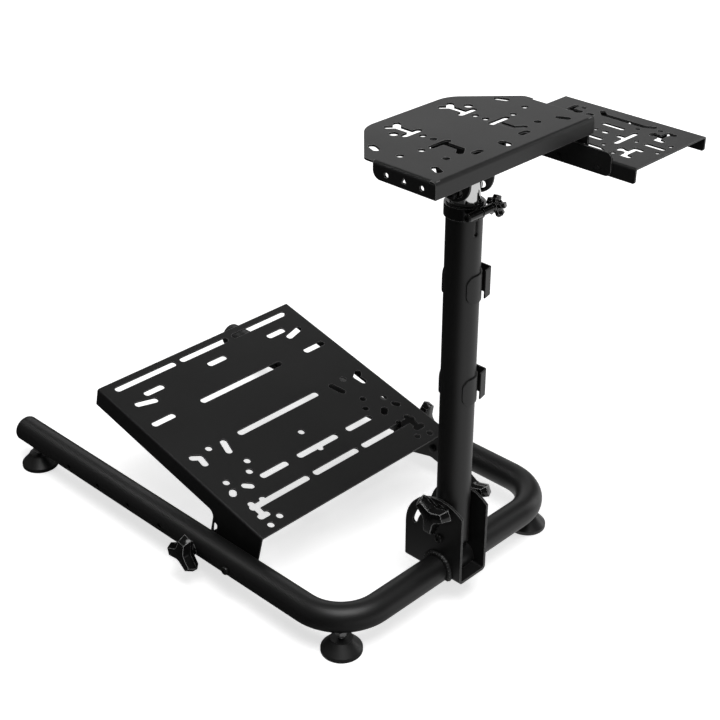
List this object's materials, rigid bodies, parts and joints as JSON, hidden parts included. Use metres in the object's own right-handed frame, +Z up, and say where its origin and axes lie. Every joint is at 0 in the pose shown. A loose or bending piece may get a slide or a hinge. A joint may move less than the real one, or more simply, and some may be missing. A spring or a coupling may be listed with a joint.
{
  "type": "racing wheel stand",
  "caption": "Folding tube stand with a tilting plate for a racing wheel, a side plate for a gear shifter and a sloped plate for pedals.",
  "frame": {"origin": "middle of the stand's bounding box, on the floor under its feet", "axes": "+Z up, +Y from the user towards the pedals, +X to the user's right, the shifter's side"},
  "size_m": [0.6078, 0.942, 0.752],
  "materials": {
    "black_steel": "satin black powder coat",
    "black_bolt": "black oxide",
    "bright_steel": "zinc plated",
    "chrome_tube": "polished",
    "gloss_knob": "gloss",
    "black_plastic": "matte",
    "foot_rubber": "matte"
  },
  "bodies": {
    "base": {"base_tube": "black_steel", "rail_cap_left": "black_plastic", "rail_cap_right": "black_plastic", "foot_pad_front_left": "foot_rubber", "foot_pad_front_right": "foot_rubber", "foot_pad_rear_left": "foot_rubber", "foot_pad_rear_right": "foot_rubber", "foot_stud_front_left": "bright_steel", "foot_stud_front_right": "bright_steel", "foot_stud_rear_left": "bright_steel", "foot_stud_rear_right": "bright_steel", "column_bracket": "black_steel", "column_pivot_bolt": "black_bolt", "pedal_pivot_bolt_left": "black_bolt", "pedal_pivot_bolt_right": "black_bolt", "pedal_clamp_bolt_left": "black_bolt", "pedal_clamp_bolt_right": "black_bolt", "pedal_knob_left": "gloss_knob", "pedal_knob_right": "gloss_knob"},
    "column": {"column_tube": "black_steel", "cable_clip_upper": "black_plastic", "cable_clip_lower": "black_plastic", "clamp_collar": "black_steel", "collar_bolt": "black_bolt", "collar_knob": "gloss_knob", "guide_sleeve": "black_plastic", "column_clamp_bolt": "black_bolt", "column_knob_left": "gloss_knob", "column_knob_right": "gloss_knob"},
    "mast": {"inner_tube": "chrome_tube", "tilt_pivot_bolt": "black_bolt", "tilt_clamp_bolt": "black_bolt"},
    "head": {"tilt_bracket": "black_steel", "wheel_plate": "black_steel", "shifter_bracket": "black_steel", "shifter_bracket_bolts": "black_bolt", "shifter_plate_bolts": "black_bolt", "shifter_plate": "black_steel"},
    "pedals": {"pedal_plate": "black_steel"}
  },
  "joints": [
    {"name": "column_tilt", "type": "hinge", "parent": "base", "child": "column", "pos_m": [-0.0171, -0.309, 0.115], "axis": [-1, 0, 0], "range_deg": [0, 60]},
    {"name": "mast_slide", "type": "slide", "parent": "column", "child": "mast", "axis": [0, 0, 1], "range_m": [0, 0.15]},
    {"name": "head_tilt", "type": "hinge", "parent": "mast", "child": "head", "pos_m": [-0.0171, -0.309, 0.6895], "axis": [1, 0, 0], "range_deg": [-30, 30]},
    {"name": "pedal_tilt", "type": "hinge", "parent": "base", "child": "pedals", "pos_m": [-0.0171, -0.084, 0.061], "axis": [1, 0, 0], "range_deg": [-14.2, 11.8]}
  ]
}
